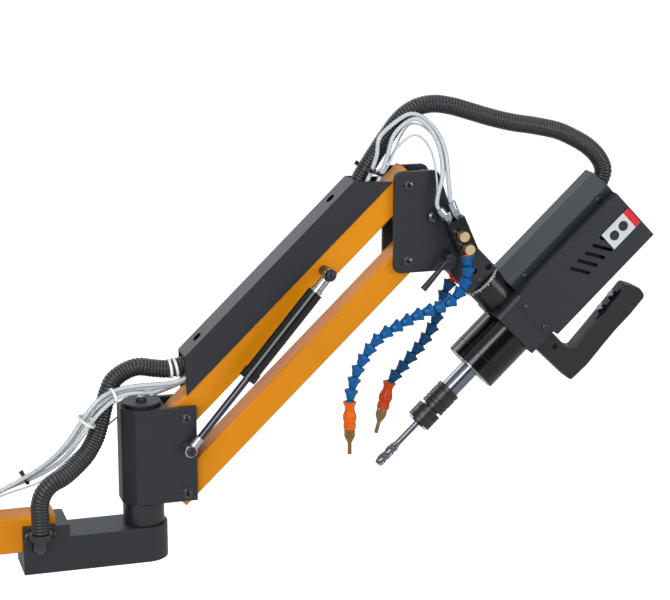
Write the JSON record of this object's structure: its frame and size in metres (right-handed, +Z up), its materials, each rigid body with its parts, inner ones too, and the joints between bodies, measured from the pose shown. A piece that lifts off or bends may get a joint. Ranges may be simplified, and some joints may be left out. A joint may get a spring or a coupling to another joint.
{
  "type": "arm tapping machine",
  "caption": "Bench tapping arm: two-part swinging arm with parallel links and gas spring, carrying a tilting, swivelling motor head with a quick-change chuck, a handle and coolant hoses.",
  "frame": {"origin": "on the column's axis, at the base plate's underside", "axes": "+Z up along the column, +X from the column towards the tapping head with the arm straight out, +Y to the side away from the gas spring"},
  "size_m": [1.3229, 0.18, 0.7964],
  "materials": {
    "orange_paint": "gloss",
    "black_powder": "fine-textured powder coat",
    "cover_grey": "fine-textured powder coat",
    "gloss_black": "gloss",
    "ground_steel": "ground",
    "bright_zinc": "bright",
    "black_steel": "black oxide",
    "bush_bronze": "turned",
    "knob_brass": "turned",
    "black_plastic": "satin",
    "hose_blue": "gloss",
    "nozzle_orange": "gloss",
    "clear_tube": "clear",
    "motor_black": "anodised"
  },
  "bodies": {
    "base": {"base_plate": "black_powder", "base_column": "ground_steel", "column_cap": "black_powder"},
    "first_arm": {"column_housing": "black_powder", "housing_bushes": "bush_bronze", "first_arm_beam": "orange_paint", "elbow_housing": "black_powder", "beam_bolts": "black_steel", "elbow_shaft": "black_steel", "elbow_cap": "black_powder", "beam_fittings": "black_plastic"},
    "arm_bracket": {"arm_bracket": "black_powder", "bracket_bushes": "bush_bronze", "rear_pivot_bolts": "black_steel", "rear_spacers": "ground_steel", "base_conduit": "black_plastic", "base_air_tubes": "clear_tube"},
    "upper_link": {"upper_link": "orange_paint", "upper_link_plugs": "black_plastic", "cable_cover": "black_powder", "spring_stud": "black_steel"},
    "lower_link": {"lower_link": "orange_paint", "lower_link_plugs": "black_plastic"},
    "spring_cylinder": {"spring_cylinder": "gloss_black"},
    "spring_rod": {"spring_rod": "ground_steel", "spring_eye": "bright_zinc"},
    "head_bracket": {"head_plate_front": "black_powder", "head_plate_rear": "black_powder", "head_spacers": "ground_steel", "head_pivot_bolts": "black_steel", "head_conduit": "black_plastic", "head_air_tubes": "clear_tube"},
    "clamp_lever": {"clamp_lever": "black_steel"},
    "head_arm": {"head_arm": "black_powder", "tilt_bush": "bush_bronze", "dial_ring": "gloss_black", "valve_bracket": "ground_steel", "valve_block": "gloss_black", "air_fittings": "bright_zinc", "coolant_hose_front": "hose_blue", "coolant_hose_rear": "hose_blue", "coolant_nozzles": "nozzle_orange", "coolant_tips": "knob_brass"},
    "valve_knob_upper": {"valve_knob_upper": "knob_brass"},
    "valve_knob_lower": {"valve_knob_lower": "knob_brass"},
    "tapping_head": {"swivel_barrel": "gloss_black", "gearbox_block": "black_powder", "motor_cover": "cover_grey", "front_cover": "black_powder", "cover_screws": "black_steel", "servo_motor": "motor_black", "spindle_housing": "gloss_black", "handle": "black_plastic", "button_strip": "bright_zinc"},
    "button_forward": {"button_forward": "bright_zinc"},
    "button_reverse": {"button_reverse": "bright_zinc"},
    "spindle": {"spindle": "ground_steel", "chuck_body": "black_steel", "tap": "ground_steel"},
    "chuck_sleeve": {"chuck_sleeve": "black_steel"}
  },
  "joints": [
    {"name": "base_swing", "type": "hinge", "parent": "base", "child": "first_arm", "pos_m": [0, 0, 0.2], "axis": [0, 0, 1], "range_deg": [-170, 170]},
    {"name": "elbow_swing", "type": "hinge", "parent": "first_arm", "child": "arm_bracket", "pos_m": [0.5, 0, 0.3], "axis": [0, 0, 1], "range_deg": [-120, 120], "deforming": ["base_conduit", "base_air_tubes"]},
    {"name": "arm_lift", "type": "hinge", "parent": "arm_bracket", "child": "upper_link", "pos_m": [0.554, 0, 0.38], "axis": [0, -1, 0], "range_deg": [-64, 8], "deforming": ["base_conduit", "base_air_tubes", "head_conduit", "head_air_tubes"]},
    {"name": "lower_link_swing", "type": "hinge", "parent": "arm_bracket", "child": "lower_link", "pos_m": [0.554, 0, 0.275], "axis": [0, -1, 0], "range_deg": [-64, 8]},
    {"name": "head_level", "type": "hinge", "parent": "upper_link", "child": "head_bracket", "pos_m": [0.86704, 0, 0.67915], "axis": [0, -1, 0], "range_deg": [-8, 64], "deforming": ["head_conduit", "head_air_tubes"]},
    {"name": "spring_swing", "type": "hinge", "parent": "upper_link", "child": "spring_cylinder", "pos_m": [0.75036, -0.045, 0.56764], "axis": [0, -1, 0], "range_deg": [-5, 10]},
    {"name": "spring_stroke", "type": "slide", "parent": "spring_cylinder", "child": "spring_rod", "axis": [-0.6467, 0, -0.7627], "range_m": [-0.045, 0.008]},
    {"name": "head_tilt", "type": "hinge", "parent": "head_bracket", "child": "head_arm", "pos_m": [0.90194, 0, 0.63445], "axis": [0, -1, 0], "range_deg": [0, 46.5], "deforming": ["head_conduit", "head_air_tubes"]},
    {"name": "clamp_turn", "type": "hinge", "parent": "head_bracket", "child": "clamp_lever", "pos_m": [0.92305, -0.03, 0.57865], "axis": [0, -1, 0], "range_deg": [-60, 15]},
    {"name": "valve_turn_upper", "type": "hinge", "parent": "head_arm", "child": "valve_knob_upper", "pos_m": [0.93535, -0.05, 0.61158], "axis": [0, 1, 0], "range_deg": [-360, 360]},
    {"name": "valve_turn_lower", "type": "hinge", "parent": "head_arm", "child": "valve_knob_lower", "pos_m": [0.94349, -0.05, 0.59331], "axis": [0, 1, 0], "range_deg": [-360, 360]},
    {"name": "head_swivel", "type": "hinge", "parent": "head_arm", "child": "tapping_head", "pos_m": [1.04106, 0, 0.4742], "axis": [-0.6884, 0, 0.7254], "range_deg": [-90, 90], "deforming": ["head_conduit"]},
    {"name": "button_forward_press", "type": "slide", "parent": "tapping_head", "child": "button_forward", "axis": [0.757, 0, -0.6534], "range_m": [0, 0.002], "stiffness_N_per_m": 400, "springref_m": -0.002},
    {"name": "button_reverse_press", "type": "slide", "parent": "tapping_head", "child": "button_reverse", "axis": [0.757, 0, -0.6534], "range_m": [0, 0.002], "stiffness_N_per_m": 400, "springref_m": -0.002},
    {"name": "spindle_spin", "type": "hinge", "parent": "tapping_head", "child": "spindle", "pos_m": [1.04106, 0, 0.4742], "axis": [0.7254, 0, 0.6884], "continuous": true},
    {"name": "chuck_release", "type": "slide", "parent": "spindle", "child": "chuck_sleeve", "axis": [0.7254, 0, 0.6884], "range_m": [0, 0.003], "stiffness_N_per_m": 1500, "springref_m": -0.003}
  ],
  "couplings": [
    {"joint": "lower_link_swing", "follows": "arm_lift", "ratio": 1},
    {"joint": "head_level", "follows": "arm_lift", "ratio": -1},
    {"joint": "spring_swing", "follows": "arm_lift", "ratio": -0.05},
    {"joint": "spring_stroke", "follows": "arm_lift", "m_per_rad": 0.0376}
  ]
}
